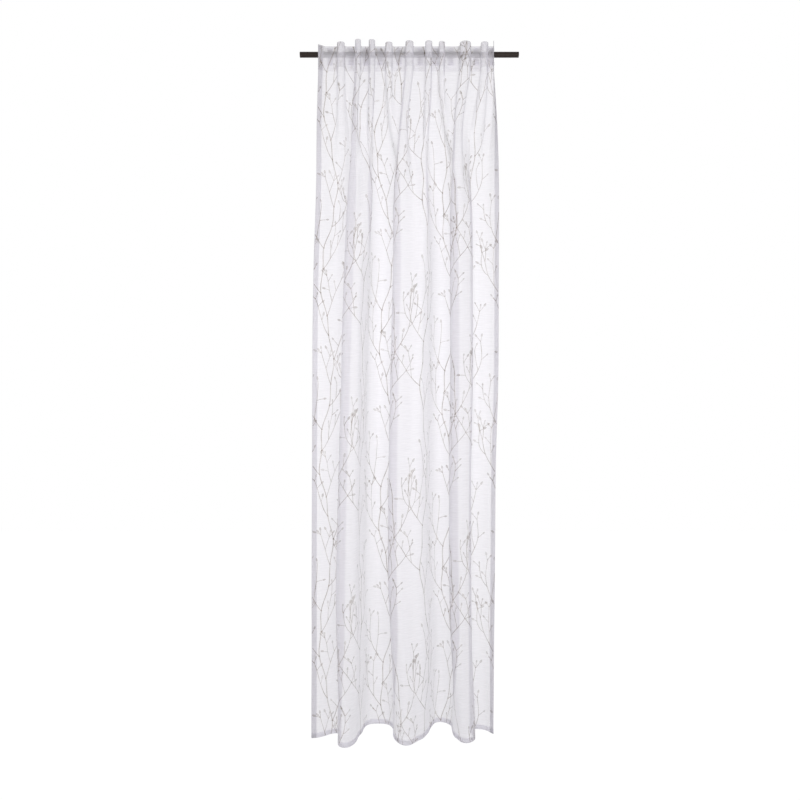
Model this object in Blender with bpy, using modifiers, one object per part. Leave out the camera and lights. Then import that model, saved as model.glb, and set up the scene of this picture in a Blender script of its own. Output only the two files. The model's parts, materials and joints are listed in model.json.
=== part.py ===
"""Sheer voile curtain panel hanging by hidden back tabs on a plain round rod.

Metres, +Z up. The origin is the middle of the rod's axis, +X runs along the rod to the
right as seen from the room, and the cloth bulges towards the room, which is -Y.
"""

import math

import bmesh
import bpy
import numpy as np

MM = 0.001

# Driving dimensions
PANEL_WIDTH = 1.40  # the panel laid flat, side hem to side hem
PANEL_DROP = 2.45  # the panel laid flat, heading to bottom hem
HEADING_DEPTH = 0.090  # the double heading that the tabs are sewn to
SIDE_HEM = 0.018
BOTTOM_HEM = 0.017
VOILE_THICK = 0.0010
HEM_THICK = 0.0016  # where the cloth is turned over and sewn
ROD_DIAMETER = 0.020
ROD_LENGTH = 0.783
ROD_END_BEVEL = 0.0008
TOP_ABOVE_ROD_AXIS = 0.0245
CLOTH_TO_ROD = 0.0021  # clear space between the heading's back and the rod
TAB_WIDTH = 0.018
TAB_THICK = 0.0010
TAB_TOP_DROP = 0.006  # from the top of the heading to the upper tab seam
TAB_LENGTH = 0.062  # from the upper tab seam to the lower one
TAB_SEAM = 0.008  # each end of a tab that lies flat on the heading
TAB_TO_ROD = 0.0012
TAB_UNDER_ROD = ((0.0081, -0.016), (0.0022, -0.024))  # its way back to the heading, as (y, z)
TAB_EASE = 0.0010  # how far it still stands off the heading above the lower seam
SEWN_GAP = 0.0003
MEAN_DEPTH = -0.040  # the hanging cloth's middle, in front of the rod's axis
LOOSE_BELOW = 0.5  # how far below the heading the rod's pull has died away
DRIFT_ORDER = 4  # of the curve that keeps the flats in line with the rod
SMOOTHING = 120  # passes down the cloth, from the bottom of the heading
LEVELLED = 0.8  # how much of the hem's unevenness the cloth's stretch takes up
LEAST_FALL = 0.3  # squared: the least that a slanting thread falls for its length

# The heading from left to right, a row for each lobe that stands forward between two tabs:
# the flat cloth before it, which a tab holds to the rod; the cloth in the lobe; the width of
# rod that it takes up; the width of its round nose; how far below the heading it has died
# away; and how far to the right it hangs by then. All in millimetres.
HEADING_LOBES = (
    # flat, cloth, width, nose, fades, swings
    (35, 109, 46, 30, 440, 0),
    (24, 140, 30, 22, 460, 0),
    (19, 136, 30, 24, 760, -6),
    (23, 104, 42, 28, 480, 0),
    (29, 126, 46, 31, 480, 0),
    (30, 118, 30, 27, 700, -8),
    (19, 105, 26, 24, 480, 14),
    (39, 131, 62, 42, 560, 0),
    (19, 104, 36, 29, 440, -30),
)
LOBE_SHIFT = 0.070  # the most that a fading lobe moves along its cloth
SHIFT_TRIES = 3  # at each row, to find the shifts
LAST_FLAT = 18 * MM
FADE_START = 1.4  # higher keeps the lobes whole for longer
FIRST_FLAT_X = -0.3000  # where the first flat starts on the rod
FLARE = (8 * MM, 1.5)  # a lobe's first turn: the least cloth in it, and more for a wide base
MOST_TURNED = 2.6  # the most, in radians, that a lobe's cloth can turn
STRONGEST = 2.0  # the most that the turns of a stretch of cloth are made stronger
HALVINGS = 36  # in each search for the turn that fits
STEEPEST = (math.radians(98), math.radians(116))  # that a fold turns: by the rod, hanging free
FOLDS_GROW = 0.50  # how far below the heading the main folds reach their full depth
SETTLES_BELOW = 0.12  # how far below the heading the side hems leave the rod's hold
# The free cloth outside the first and last tabs.
LEFT_END = 28 * MM
LEFT_END_HEADS = math.radians(-35)
RIGHT_END_HEADS = math.radians(98)
ENDS_FADE = 0.35

# The main folds from left to right, a row for each run of cloth: its length in millimetres
# and the way it heads in degrees, 0 to the right along the rod and 90 straight into the room.
UPPER_RUNS = (
    # cloth, heads
    (20, 6),
    (112, -24),
    (22, 35),
    (88, 101),
    (28, 45),
    (46, -22),
    (128, -66),
    (42, -32),
    (54, 10),
    (32, 42),
    (84, 104),
    (36, 42),
    (96, -18),
    (112, -60),
    (48, -25),
    (54, 25),
    (98, 115),
    (44, 45),
    (58, -25),
    (50, -75),
    (26, -105),
    (58, 5),
    (50, 30),
)
LOWER_RUNS = (
    # cloth, heads
    (20, 8),
    (86, -26),
    (22, 35),
    (90, 101),
    (30, 45),
    (48, -22),
    (132, -66),
    (42, -32),
    (54, 10),
    (32, 42),
    (86, 104),
    (40, 42),
    (96, -18),
    (120, -60),
    (48, -25),
    (56, 25),
    (100, 115),
    (46, 45),
    (52, -25),
    (50, -75),
    (26, -110),
    (54, 5),
    (44, 30),
)
HEM_RUNS = (
    # cloth, heads
    (16, 10),
    (76, -34),
    (32, 45),
    (66, 98),
    (38, 52),
    (46, -42),
    (150, -71),
    (34, -42),
    (46, 0),
    (38, 47),
    (102, 78),
    (58, 56),
    (86, -38),
    (142, -65),
    (24, -37),
    (48, 50),
    (98, 78),
    (64, 58),
    (52, -48),
    (40, -84),
    (40, -116),
    (50, 0),
    (52, 46),
)
RUN_ROUNDING = 0.040  # cloth over which one run turns into the next
FOLDS_DRIFT = (0.60, 2.00)  # the drops over which the upper runs turn into the lower ones
HEM_OPENS = (2.05, 2.42)  # the drops over which the lower runs turn into those of the hem

# Where the side hems and the noses of the three main folds hang, by the drop below the top
# of the heading.
FOLD_PLACES = (
    # drop, left hem, first nose, second nose, third nose, right hem
    (0.00, -0.3195, -0.1800, 0.0010, 0.1990, 0.2985),
    (0.14, -0.3240, -0.1865, -0.0080, 0.1790, 0.3005),
    (0.24, -0.3280, -0.1925, -0.0190, 0.1725, 0.3045),
    (0.43, -0.3330, -0.1960, -0.0310, 0.1640, 0.3145),
    (0.57, -0.3340, -0.1950, -0.0310, 0.1665, 0.3160),
    (0.71, -0.3350, -0.1960, -0.0290, 0.1705, 0.3175),
    (1.02, -0.3410, -0.2070, -0.0375, 0.1730, 0.3175),
    (1.23, -0.3420, -0.2095, -0.0410, 0.1745, 0.3155),
    (1.47, -0.3430, -0.2168, -0.0440, 0.1695, 0.3065),
    (1.92, -0.3450, -0.2297, -0.0425, 0.1698, 0.3035),
    (2.20, -0.3439, -0.2234, -0.0262, 0.1768, 0.3003),
    (2.30, -0.3436, -0.2235, -0.0175, 0.1887, 0.2992),
    (2.45, -0.3430, -0.2238, -0.0160, 0.1943, 0.2975),
)
NOSE_LOBES = (2, 5, 8)  # the lobes that run on down as the main folds

# The rows of the cloth's faces, by their drop below the top of the heading.
ROW_DROPS = (
    0.0, 0.03, 0.06, 0.09, 0.12, 0.165, 0.235, 0.32, 0.43, 0.56,
    0.72, 0.92, 1.15, 1.40, 1.66, 1.92, 2.16, 2.34, 2.433, 2.45,
)  # fmt: skip
COLUMN_SPACING = 0.0132
FINE_STEPS = 1400  # steps along the cloth for working out its course
FINE_ROWS = 245  # steps down the cloth for working out its drop

COLLECTION = "sheer_voile_curtain"


def clear_scene():
    for obj in list(bpy.data.objects):
        bpy.data.objects.remove(obj, do_unlink=True)


def make_collection(name):
    collection = bpy.data.collections.new(name)
    bpy.context.scene.collection.children.link(collection)
    return collection


def make_material(name, colour, roughness, metallic=0.0):
    material = bpy.data.materials.new(name)
    material.use_nodes = True
    shader = material.node_tree.nodes["Principled BSDF"]
    shader.inputs["Base Color"].default_value = (*colour, 1.0)
    shader.inputs["Roughness"].default_value = roughness
    shader.inputs["Metallic"].default_value = metallic
    return material


def add_object(name, mesh, collection, material):
    obj = bpy.data.objects.new(name, mesh)
    collection.objects.link(obj)
    mesh.materials.append(material)
    return obj


def stretches():
    """The heading's stretches of cloth as (kind, start, end, hung width), in metres."""
    found = [("left_end", 0.0, LEFT_END, 0.0)]
    at = LEFT_END
    for flat, cloth, width, *_rest in HEADING_LOBES:
        found.append(("flat", at, at + flat * MM, flat * MM))
        at += flat * MM
        found.append(("lobe", at, at + cloth * MM, width * MM))
        at += cloth * MM
    found.append(("flat", at, at + LAST_FLAT, LAST_FLAT))
    at += LAST_FLAT
    found.append(("right_end", at, PANEL_WIDTH, 0.0))
    return found


def smooth_step(value):
    value = np.clip(value, 0.0, 1.0)
    return value * value * (3 - 2 * value)


def lobe_wave(part, nose, flare):
    """How a lobe's cloth turns, forward in its first half and back in its second, where its
    nose and each of its flares at the rod take these shares of its cloth."""
    near = np.minimum(part, 1 - part)
    turn = np.minimum(smooth_step(near / flare), (0.5 - near) / (nose / 2))
    return np.where(part < 0.5, turn, -turn)


def lobe_angles(part, cloth, width, nose):
    """The way a lobe's cloth heads, turned just far enough to draw it in to its hung width."""
    shares = (nose * math.pi / 2 / cloth, (FLARE[0] + FLARE[1] * (width - nose) / 2) / cloth)
    wave = lobe_wave(np.linspace(0, 1, 401), *shares)
    low, high = 0.0, MOST_TURNED
    for _ in range(HALVINGS):
        middle = (low + high) / 2
        if np.cos(middle * wave).mean() > width / cloth:
            low = middle
        else:
            high = middle
    return low * lobe_wave(part, *shares)


def fade(drop, length):
    """1 in the heading, and 0 once the drop below it reaches the length."""
    part = min(max((drop - HEADING_DEPTH) / length, 0.0), 1.0)
    return 1 - smooth_step(part**FADE_START)


def heading_angles(along, drop, shifts):
    """The way the cloth heads because of its heading, at each place along it, when each lobe
    has shifted along the cloth."""
    angles = np.zeros_like(along)
    number = 0
    for kind, start, end, _width in stretches():
        if kind == "lobe":
            _flat, cloth, width, nose, fades, _swings = (v * MM for v in HEADING_LOBES[number])
            part = (along - start - shifts[number]) / cloth
            number += 1
            inside = (part >= 0) & (part < 1)
            angles[inside] += fade(drop, fades) * lobe_angles(part[inside], cloth, width, nose)
        elif kind != "flat":
            heads = LEFT_END_HEADS if kind == "left_end" else RIGHT_END_HEADS
            angles[(along >= start) & (along <= end)] += fade(drop, ENDS_FADE) * heads
    return angles


def shifted(along, drop, right, top, shifts):
    """The lobes' shifts along the cloth, bettered so that the small lobes hang below their
    places on the rod."""
    lobes = [(start + end) / 2 for kind, start, end, _width in stretches() if kind == "lobe"]
    bettered = []
    for number, (middle, shift) in enumerate(zip(lobes, shifts)):
        fades, swings = (size * MM for size in HEADING_LOBES[number][-2:])
        swung = swings * smooth_step((drop - HEADING_DEPTH) / fades)
        off = np.interp(middle, along, top) + swung - np.interp(middle + shift, along, right)
        if number + 1 not in NOSE_LOBES:
            shift = min(max(shift + off, -LOBE_SHIFT), LOBE_SHIFT)
        bettered.append(shift)
    return bettered


def run_angles(along, runs):
    """The way the cloth heads in a row of runs, each rounded into the next."""
    lengths, heads = np.array(runs, float).T
    ends = np.cumsum(lengths) / lengths.sum() * PANEL_WIDTH
    run = np.searchsorted(ends, along, side="right").clip(0, len(heads) - 1)
    angles = np.radians(heads)[run]
    half = round(RUN_ROUNDING / (along[1] - along[0]))
    weights = np.hanning(2 * half + 3)[1:-1]
    padded = np.pad(angles, half, mode="edge")
    return np.convolve(padded, weights / weights.sum(), mode="valid")


def middles(values):
    return (values[..., 1:] + values[..., :-1]) / 2


def course(angles, step):
    """Plan coordinates along one row, from the way the cloth heads: to the right, forward."""
    right = np.concatenate([[0.0], np.cumsum(middles(np.cos(angles)) * step)])
    forward = np.concatenate([[0.0], np.cumsum(middles(np.sin(angles)) * step)])
    return right, forward


def drawn_in(turns, most, width, step):
    """The turns of a stretch of cloth, made stronger or weaker until it spans the width."""
    low, high = 0.0, STRONGEST
    for _ in range(HALVINGS):
        middle = (low + high) / 2
        angles = np.clip(middle * turns, -most, most)
        if middles(np.cos(angles)).sum() * step > width:
            low = middle
        else:
            high = middle
    return angles


def nose_near(turns, place):
    """The step along the cloth, nearest the place, where it stops coming forward."""
    noses = np.flatnonzero((turns[:-1] > 0) & (turns[1:] <= 0))
    return noses[np.argmin(np.abs(noses - place))]


def hung_row(along, drop, heading, main_folds, noses, top):
    """A row below the heading, given how its lobes head: x and y along it, and the steps of
    its main noses, each of which hangs at its own place."""
    step = along[1] - along[0]
    loose = smooth_step((drop - HEADING_DEPTH) / LOOSE_BELOW)
    most = np.maximum(np.abs(heading), STEEPEST[0] + (STEEPEST[1] - STEEPEST[0]) * loose)
    turns = heading + smooth_step((drop - HEADING_DEPTH) / FOLDS_GROW) * main_folds
    noses = [nose_near(turns, nose) for nose in noses]
    marks = [0, *noses, len(along) - 1]
    settled = smooth_step((drop - HEADING_DEPTH) / SETTLES_BELOW)
    drops, *ways = np.array(FOLD_PLACES).T
    hung = [
        top[mark] + (np.interp(drop, drops, way) - top[mark]) * settled
        for mark, way in zip(marks, ways)
    ]
    for first, last, start, end in zip(marks, marks[1:], hung, hung[1:]):
        run = slice(first, last + 1)
        turns[run] = drawn_in(turns[run], most[run], end - start, step)
    right, forward = course(turns, step)
    return right + hung[0], forward, noses


def row_course(along, drop, folds, noses, shifts):
    """One row of the cloth: x and y along it, the steps along it of the main noses and the
    shifts of the lobes. The main folds take up what the lobes let go."""
    drifted = smooth_step((drop - FOLDS_DRIFT[0]) / (FOLDS_DRIFT[1] - FOLDS_DRIFT[0]))
    opened = smooth_step((drop - HEM_OPENS[0]) / (HEM_OPENS[1] - HEM_OPENS[0]))
    main_folds = folds[0] + (folds[1] - folds[0]) * drifted
    main_folds = main_folds + (folds[2] - main_folds) * opened
    heading = heading_angles(along, 0.0, [0.0] * len(HEADING_LOBES))
    right, forward = course(heading, along[1] - along[0])
    right += FIRST_FLAT_X - np.interp(LEFT_END, along, right)
    if drop > HEADING_DEPTH:
        top = right
        for _ in range(SHIFT_TRIES):
            heading = heading_angles(along, drop, shifts)
            right, forward, noses = hung_row(along, drop, heading, main_folds, noses, top)
            shifts = shifted(along, drop, right, top, shifts)
    loose = smooth_step((drop - HEADING_DEPTH) / LOOSE_BELOW)
    held = -(ROD_DIAMETER / 2 + CLOTH_TO_ROD + HEM_THICK / 2)
    flats = [(start + end) / 2 for kind, start, end, _width in stretches() if kind == "flat"]
    drift = np.polynomial.Polynomial.fit(flats, np.interp(flats, along, forward), DRIFT_ORDER)
    at_rod = -forward + drift(along) + held
    hanging = -forward + forward.mean() + MEAN_DEPTH
    return right, (1 - loose) * at_rod + loose * hanging, noses, shifts


def cloth_surface():
    """Fine grids of x, y and z over the cloth's drop and width, and their two scales."""
    along = np.linspace(0, PANEL_WIDTH, FINE_STEPS + 1)
    drops = np.linspace(0, PANEL_DROP, FINE_ROWS + 1)
    folds = [run_angles(along, runs) for runs in (UPPER_RUNS, LOWER_RUNS, HEM_RUNS)]
    lobes = [(start + end) / 2 for kind, start, end, _width in stretches() if kind == "lobe"]
    noses = [lobes[number - 1] / PANEL_WIDTH * FINE_STEPS for number in NOSE_LOBES]
    shifts = [0.0] * len(HEADING_LOBES)
    x = np.empty((len(drops), len(along)))
    y = np.empty_like(x)
    for row, drop in enumerate(drops):
        x[row], y[row], noses, shifts = row_course(along, drop, folds, noses, shifts)
    top = int(np.searchsorted(drops, HEADING_DEPTH))
    for _ in range(SMOOTHING):
        for grid in (x[top:], y[top:]):
            grid[1:-1] = (grid[:-2] + 2 * grid[1:-1] + grid[2:]) / 4
    step = drops[1] - drops[0]
    sideways = (np.diff(x, axis=0) ** 2 + np.diff(y, axis=0) ** 2) / step**2
    falls = np.sqrt(np.clip(1 - sideways, LEAST_FALL, 1.0)) * step
    fallen = np.vstack([np.zeros_like(along), np.cumsum(falls, axis=0)])
    fallen *= (fallen[-1].mean() / fallen[-1]) ** LEVELLED
    z = TOP_ABOVE_ROD_AXIS - fallen
    return along, drops, x, y, z


def column_places():
    """Where the cloth's columns of faces stand along it: at each stretch's ends and between."""
    marks = {0.0, SIDE_HEM, PANEL_WIDTH - SIDE_HEM, PANEL_WIDTH}
    marks |= {start for _kind, start, _end, _width in stretches()}
    marks = sorted(marks)
    places = [0.0]
    for start, end in zip(marks, marks[1:]):
        count = max(1, round((end - start) / COLUMN_SPACING))
        places += [start + (end - start) * (n + 1) / count for n in range(count)]
    return places


def grid_at(grid, along, drops, places, rows):
    """The fine grid read at the places along the cloth and at its rows."""
    down = np.array([np.interp(rows, drops, grid[:, n]) for n in range(len(along))]).T
    return np.array([np.interp(places, along, row) for row in down])


def make_panel(collection, material):
    along, drops, x, y, z = cloth_surface()
    places = column_places()
    grids = [grid_at(grid, along, drops, places, ROW_DROPS) for grid in (x, y, z)]
    points = np.stack(grids, axis=-1)
    shape = bmesh.new()
    verts = [[shape.verts.new(point) for point in row] for row in points]
    for upper, lower in zip(verts, verts[1:]):
        for n in range(len(places) - 1):
            shape.faces.new((upper[n], lower[n], lower[n + 1], upper[n + 1]))
    mesh = bpy.data.meshes.new("panel")
    shape.to_mesh(mesh)
    shape.free()
    mesh.shade_smooth()
    panel = add_object("panel", mesh, collection, material)
    turned = panel.vertex_groups.new(name="turned_and_sewn")
    for row, drop in enumerate(ROW_DROPS):
        for column, place in enumerate(places):
            hemmed = drop <= HEADING_DEPTH or drop >= PANEL_DROP - BOTTOM_HEM
            sewn = hemmed or not SIDE_HEM < place < PANEL_WIDTH - SIDE_HEM
            turned.add([row * len(places) + column], 1.0 if sewn else 0.0, "REPLACE")
    wall = panel.modifiers.new("cloth_thickness", "SOLIDIFY")
    wall.thickness = HEM_THICK
    wall.offset = 0.0
    wall.vertex_group = turned.name
    wall.thickness_vertex_group = VOILE_THICK / HEM_THICK
    return panel


def tab_profile():
    """A tab's side view as (y, z) points: down over the rod, round its back and up to the cloth."""
    seam_y = -(ROD_DIAMETER / 2 + CLOTH_TO_ROD) + SEWN_GAP + TAB_THICK / 2
    reach = ROD_DIAMETER / 2 + TAB_TO_ROD + TAB_THICK / 2
    top = TOP_ABOVE_ROD_AXIS - TAB_TOP_DROP
    bottom = top - TAB_LENGTH
    points = [(seam_y, top), (seam_y, top - TAB_SEAM / 2)]
    points += [
        (reach * math.cos(angle), reach * math.sin(angle))
        for angle in np.radians([118, 92, 66, 40, 14, -12])
    ]
    points += TAB_UNDER_ROD
    points += [(seam_y + TAB_EASE, bottom + 1.5 * TAB_SEAM), (seam_y, bottom + TAB_SEAM)]
    return points + [(seam_y, bottom)]


def make_tab(name, middle_x, collection, material):
    """A strap of voile sewn to the heading's back above and below the rod."""
    shape = bmesh.new()
    first = [shape.verts.new((middle_x - TAB_WIDTH / 2, y, z)) for y, z in tab_profile()]
    edges = [shape.edges.new(pair) for pair in zip(first, first[1:])]
    swept = bmesh.ops.extrude_edge_only(shape, edges=edges)
    moved = [item for item in swept["geom"] if isinstance(item, bmesh.types.BMVert)]
    bmesh.ops.translate(shape, verts=moved, vec=(TAB_WIDTH, 0, 0))
    bmesh.ops.recalc_face_normals(shape, faces=shape.faces)
    mesh = bpy.data.meshes.new(name)
    shape.to_mesh(mesh)
    shape.free()
    mesh.shade_smooth()
    tab = add_object(name, mesh, collection, material)
    wall = tab.modifiers.new("tape_thickness", "SOLIDIFY")
    wall.thickness = TAB_THICK
    wall.offset = 0.0
    wall.use_even_offset = True
    return tab


def make_tabs(collection, material):
    """One tab in the middle of each flat stretch of the heading."""
    x = FIRST_FLAT_X
    number = 0
    for kind, _start, _end, width in stretches():
        if kind == "flat":
            number += 1
            make_tab(f"tab_{number:02d}", x + width / 2, collection, material)
        x += width


def make_rod(collection, material):
    shape = bmesh.new()
    radius = ROD_DIAMETER / 2
    bmesh.ops.create_cone(
        shape, cap_ends=True, segments=40, radius1=radius, radius2=radius, depth=ROD_LENGTH
    )
    ends = [edge for edge in shape.edges if abs(edge.verts[0].co.z - edge.verts[1].co.z) < MM]
    bmesh.ops.bevel(
        shape, geom=ends, offset=ROD_END_BEVEL, segments=1, profile=0.5, affect="EDGES"
    )
    bmesh.ops.triangulate(shape, faces=[face for face in shape.faces if len(face.verts) > 4])
    mesh = bpy.data.meshes.new("rod")
    shape.to_mesh(mesh)
    shape.free()
    mesh.shade_smooth()
    mesh.set_sharp_from_angle(angle=math.radians(40))
    rod = add_object("rod", mesh, collection, material)
    rod.rotation_euler = (0, math.radians(90), 0)
    return rod


def main():
    clear_scene()
    collection = make_collection(COLLECTION)
    voile = make_material("polyester_voile", (0.86, 0.86, 0.89), 0.85)
    tape = make_material("tab_tape", (0.84, 0.84, 0.87), 0.85)
    steel = make_material("powder_coated_steel", (0.025, 0.026, 0.024), 0.38, 0.2)
    make_panel(collection, voile)
    make_tabs(collection, tape)
    make_rod(collection, steel)


main()
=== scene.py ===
"""Sheer voile curtain with a printed twig design, hung by hidden loops on a round rod.

Metres, +Z up. The origin is the middle of the rod's axis, +X runs along the rod to the
right as seen from the room, and the room is towards -Y. A place on the flat panel is given
by metres across it, from its left side hem, and metres down it, from its top.
"""

import functools
import json
import math
import random

import bmesh
import bpy
import numpy as np
from bpy.props import FloatProperty, FloatVectorProperty, PointerProperty
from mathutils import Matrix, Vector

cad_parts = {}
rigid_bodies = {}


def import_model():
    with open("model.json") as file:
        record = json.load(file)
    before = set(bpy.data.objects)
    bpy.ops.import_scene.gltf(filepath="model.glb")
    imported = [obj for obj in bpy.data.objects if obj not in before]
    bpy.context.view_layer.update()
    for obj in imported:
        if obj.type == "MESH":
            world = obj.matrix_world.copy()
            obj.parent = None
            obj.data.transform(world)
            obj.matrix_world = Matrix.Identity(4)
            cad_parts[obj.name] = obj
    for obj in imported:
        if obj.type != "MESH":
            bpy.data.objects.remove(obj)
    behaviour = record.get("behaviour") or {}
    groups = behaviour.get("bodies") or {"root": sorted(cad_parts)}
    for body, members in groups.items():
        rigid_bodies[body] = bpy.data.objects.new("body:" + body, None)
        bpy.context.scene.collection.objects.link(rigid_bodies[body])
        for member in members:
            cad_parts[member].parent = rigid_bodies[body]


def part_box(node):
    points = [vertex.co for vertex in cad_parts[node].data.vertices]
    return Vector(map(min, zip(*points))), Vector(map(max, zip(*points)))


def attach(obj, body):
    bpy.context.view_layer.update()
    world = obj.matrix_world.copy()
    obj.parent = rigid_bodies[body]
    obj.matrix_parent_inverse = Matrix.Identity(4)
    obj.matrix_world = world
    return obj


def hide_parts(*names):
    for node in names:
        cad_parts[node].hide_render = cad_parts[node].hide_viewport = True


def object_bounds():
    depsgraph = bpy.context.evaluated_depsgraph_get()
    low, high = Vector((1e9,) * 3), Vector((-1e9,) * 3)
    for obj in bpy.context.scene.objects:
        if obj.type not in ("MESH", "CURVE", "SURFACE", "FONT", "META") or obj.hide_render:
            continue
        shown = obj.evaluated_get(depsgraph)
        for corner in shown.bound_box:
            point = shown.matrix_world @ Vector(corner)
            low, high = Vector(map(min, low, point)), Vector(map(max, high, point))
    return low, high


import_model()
CAD_BOX = [list(corner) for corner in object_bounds()]

bl_info = {
    "name": "Sheer Voile Curtain",
    "version": (1, 0, 0),
    "blender": (4, 5, 0),
    "location": "3D View > Sidebar > Curtain",
    "description": "Makes a printed voile panel, its loops and its rod over the packed frame",
    "category": "Object",
}

MM = 0.001

# ---------------------------------------------------------------- how the cloth hangs

PANEL_WIDTH = 1.40  # the panel laid flat, side hem to side hem
PANEL_DROP = 2.45  # the panel laid flat, heading to bottom hem
HEADING_DEPTH = 0.090  # the double heading that the tabs are sewn to
HEM_THICK = 0.0016
ROD_DIAMETER = 0.020
TOP_ABOVE_ROD_AXIS = 0.0245
CLOTH_TO_ROD = 0.0021
TAB_WIDTH = 0.018
TAB_THICK = 0.0010
TAB_TOP_DROP = 0.006
TAB_LENGTH = 0.062
TAB_SEAM = 0.008
TAB_TO_ROD = 0.0012
TAB_UNDER_ROD = ((0.0081, -0.016), (0.0022, -0.024))
TAB_EASE = 0.0010
SEWN_GAP = 0.0003
MEAN_DEPTH = -0.040  # the hanging cloth's middle, in front of the rod's axis
LOOSE_BELOW = 0.5  # how far below the heading the rod's pull has died away
DRIFT_ORDER = 4  # of the curve that keeps the flats in line with the rod
SMOOTHING = 120  # passes down the cloth, from the bottom of the heading
LEVELLED = 0.8  # how much of the hem's unevenness the cloth's stretch takes up
LEAST_FALL = 0.3  # squared: the least that a slanting thread falls for its length

# The heading from left to right, a row for each lobe that stands forward between two loops:
# the flat cloth before it, the cloth in the lobe, the width of rod that it takes up, the
# width of its round nose, how far below the heading it has died away, and how far to the
# right it hangs by then. All in millimetres.
HEADING_LOBES = (
    # flat, cloth, width, nose, fades, swings
    (35, 109, 46, 30, 440, 0),
    (24, 140, 30, 22, 460, 0),
    (19, 136, 30, 24, 760, -6),
    (23, 104, 42, 28, 480, 0),
    (29, 126, 46, 31, 480, 0),
    (30, 118, 30, 27, 700, -8),
    (19, 105, 26, 24, 480, 14),
    (39, 131, 62, 42, 560, 0),
    (19, 104, 36, 29, 440, -30),
)
LOBE_SHIFT = 0.070  # the most that a fading lobe moves along its cloth
SHIFT_TRIES = 3  # at each row, to find the shifts
LAST_FLAT = 18 * MM
FADE_START = 1.4  # higher keeps the lobes whole for longer
FIRST_FLAT_X = -0.3000  # where the first flat starts on the rod
FLARE = (8 * MM, 1.5)  # a lobe's first turn: the least cloth in it, and more for a wide base
MOST_TURNED = 2.6  # the most, in radians, that a lobe's cloth can turn
STRONGEST = 2.0  # the most that the turns of a stretch of cloth are made stronger
HALVINGS = 36  # in each search for the turn that fits
STEEPEST = (math.radians(98), math.radians(116))  # that a fold turns: by the rod, hanging free
FOLDS_GROW = 0.50  # how far below the heading the main folds reach their full depth
SETTLES_BELOW = 0.12  # how far below the heading the side hems leave the rod's hold
LEFT_END = 28 * MM
LEFT_END_HEADS = math.radians(-35)
RIGHT_END_HEADS = math.radians(98)
ENDS_FADE = 0.35

# The main folds from left to right, a row for each run of cloth: its length in millimetres
# and the way it heads in degrees, 0 to the right along the rod and 90 straight into the room.
UPPER_RUNS = (
    (20, 6), (112, -24), (22, 35), (88, 101), (28, 45), (46, -22), (128, -66), (42, -32),
    (54, 10), (32, 42), (84, 104), (36, 42), (96, -18), (112, -60), (48, -25), (54, 25),
    (98, 115), (44, 45), (58, -25), (50, -75), (26, -105), (58, 5), (50, 30),
)  # fmt: skip
LOWER_RUNS = (
    (20, 8), (86, -26), (22, 35), (90, 101), (30, 45), (48, -22), (132, -66), (42, -32),
    (54, 10), (32, 42), (86, 104), (40, 42), (96, -18), (120, -60), (48, -25), (56, 25),
    (100, 115), (46, 45), (52, -25), (50, -75), (26, -110), (54, 5), (44, 30),
)  # fmt: skip
HEM_RUNS = (
    (16, 10), (76, -34), (32, 45), (66, 98), (38, 52), (46, -42), (150, -71), (34, -42),
    (46, 0), (38, 47), (102, 78), (58, 56), (86, -38), (142, -65), (24, -37), (48, 50),
    (98, 78), (64, 58), (52, -48), (40, -84), (40, -116), (50, 0), (52, 46),
)  # fmt: skip
RUN_ROUNDING = 0.040  # cloth over which one run turns into the next
FOLDS_DRIFT = (0.60, 2.00)  # the drops over which the upper runs turn into the lower ones
HEM_OPENS = (2.05, 2.42)  # the drops over which the lower runs turn into those of the hem

# Where the side hems and the noses of the three main folds hang, by the drop below the top
# of the heading.
FOLD_PLACES = (
    # drop, left hem, first nose, second nose, third nose, right hem
    (0.00, -0.3195, -0.1800, 0.0010, 0.1990, 0.2985),
    (0.14, -0.3240, -0.1865, -0.0080, 0.1790, 0.3005),
    (0.24, -0.3280, -0.1925, -0.0190, 0.1725, 0.3045),
    (0.43, -0.3330, -0.1960, -0.0310, 0.1640, 0.3145),
    (0.57, -0.3340, -0.1950, -0.0310, 0.1665, 0.3160),
    (0.71, -0.3350, -0.1960, -0.0290, 0.1705, 0.3175),
    (1.02, -0.3410, -0.2070, -0.0375, 0.1730, 0.3175),
    (1.23, -0.3420, -0.2095, -0.0410, 0.1745, 0.3155),
    (1.47, -0.3430, -0.2168, -0.0440, 0.1695, 0.3065),
    (1.92, -0.3450, -0.2297, -0.0425, 0.1698, 0.3035),
    (2.20, -0.3439, -0.2234, -0.0262, 0.1768, 0.3003),
    (2.30, -0.3436, -0.2235, -0.0175, 0.1887, 0.2992),
    (2.45, -0.3430, -0.2238, -0.0160, 0.1943, 0.2975),
)
NOSE_LOBES = (2, 5, 8)  # the lobes that run on down as the main folds
FINE_STEPS = 1400
FINE_ROWS = 245

# Soft waves that run down the whole panel: how far apart they stand across the cloth and
# down it, how far they stand out, and where they start.
RIPPLES = (
    # across (mm), down (mm), depth (mm), start across, start down
    (118, 1450, 1.3, 0.10, 0.30),
    (83, 980, 0.9, 0.55, 0.75),
    (61, 1240, 0.6, 0.35, 0.05),
    (310, 620, 0.8, 0.80, 0.45),
)
RIPPLES_FROM = (0.09, 0.55)  # the drops between which they come in
RIPPLE_SWAY = 0.35  # radians that a ripple's crests sway to each side on their way down
RIPPLE_SWAYS = 0.6  # sways in the distance between two crests down the cloth
RIPPLE_FADES = 0.4  # how far a ripple's depth rises and falls down the cloth, as a share

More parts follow.
